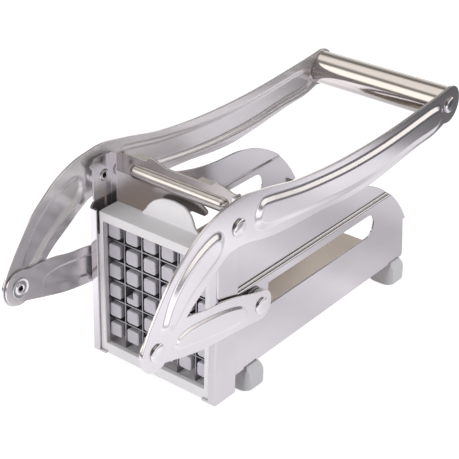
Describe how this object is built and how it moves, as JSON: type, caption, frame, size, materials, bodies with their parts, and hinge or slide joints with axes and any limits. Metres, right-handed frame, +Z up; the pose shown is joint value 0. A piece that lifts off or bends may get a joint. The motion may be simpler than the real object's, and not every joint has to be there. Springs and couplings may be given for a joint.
{
  "type": "french fry cutter",
  "caption": "Lever-operated french fry cutter: folded steel body, removable blade grid, pegged pusher block on side links, round cross grip.",
  "frame": {"origin": "on the table, under the middle of the overall length", "axes": "+X across the cutter, +Y from the blade grid towards the grip, +Z up"},
  "size_m": [0.0994, 0.2946, 0.1275],
  "materials": {
    "body_steel": "satin rolled sheet",
    "blade_steel": "ground blade strip",
    "fastener_steel": "plated",
    "grip_chrome": "polished tube",
    "frame_plastic": "moulded, fine satin",
    "block_plastic": "moulded, fine satin",
    "bush_plastic": "moulded",
    "foot_rubber": "matt"
  },
  "bodies": {
    "base": {"side_wall_right": "body_steel", "side_wall_left": "body_steel", "floor_plate": "body_steel", "crossbar": "body_steel", "grid_frame": "frame_plastic", "blades_upright": "blade_steel", "blades_level": "blade_steel", "foot_front_right": "foot_rubber", "foot_front_left": "foot_rubber", "foot_rear_right": "foot_rubber", "foot_rear_left": "foot_rubber", "foot_screws": "fastener_steel", "pivot_rivets": "fastener_steel", "pivot_spacers": "body_steel"},
    "lever": {"lever_arm_right": "body_steel", "lever_arm_left": "body_steel", "grip_tube": "grip_chrome", "grip_plugs": "bush_plastic", "grip_spindle": "fastener_steel", "grip_screws": "fastener_steel", "link_rivets": "fastener_steel"},
    "links": {"link_right": "body_steel", "link_left": "body_steel", "link_end_pins": "fastener_steel"},
    "pusher": {"pusher_block": "block_plastic", "pusher_carrier": "body_steel", "carrier_screws": "fastener_steel", "slide_bushes": "bush_plastic", "slide_pins": "fastener_steel"}
  },
  "joints": [
    {"name": "lever_swing", "type": "hinge", "parent": "base", "child": "lever", "pos_m": [0, -0.07415, 0.1114], "axis": [1, 0, 0], "range_deg": [0, 90]},
    {"name": "link_turn", "type": "hinge", "parent": "lever", "child": "links", "pos_m": [0, -0.13655, 0.0688], "axis": [1, 0, 0], "range_deg": [-77.13, 0]},
    {"name": "pusher_slide", "type": "slide", "parent": "base", "child": "pusher", "axis": [0, 1, 0], "range_m": [0, 0.10629]}
  ],
  "couplings": [
    {"joint": "link_turn", "follows": "lever_swing", "ratio": -0.85639},
    {"joint": "pusher_slide", "follows": "lever_swing", "m_per_rad": 0.067634}
  ]
}
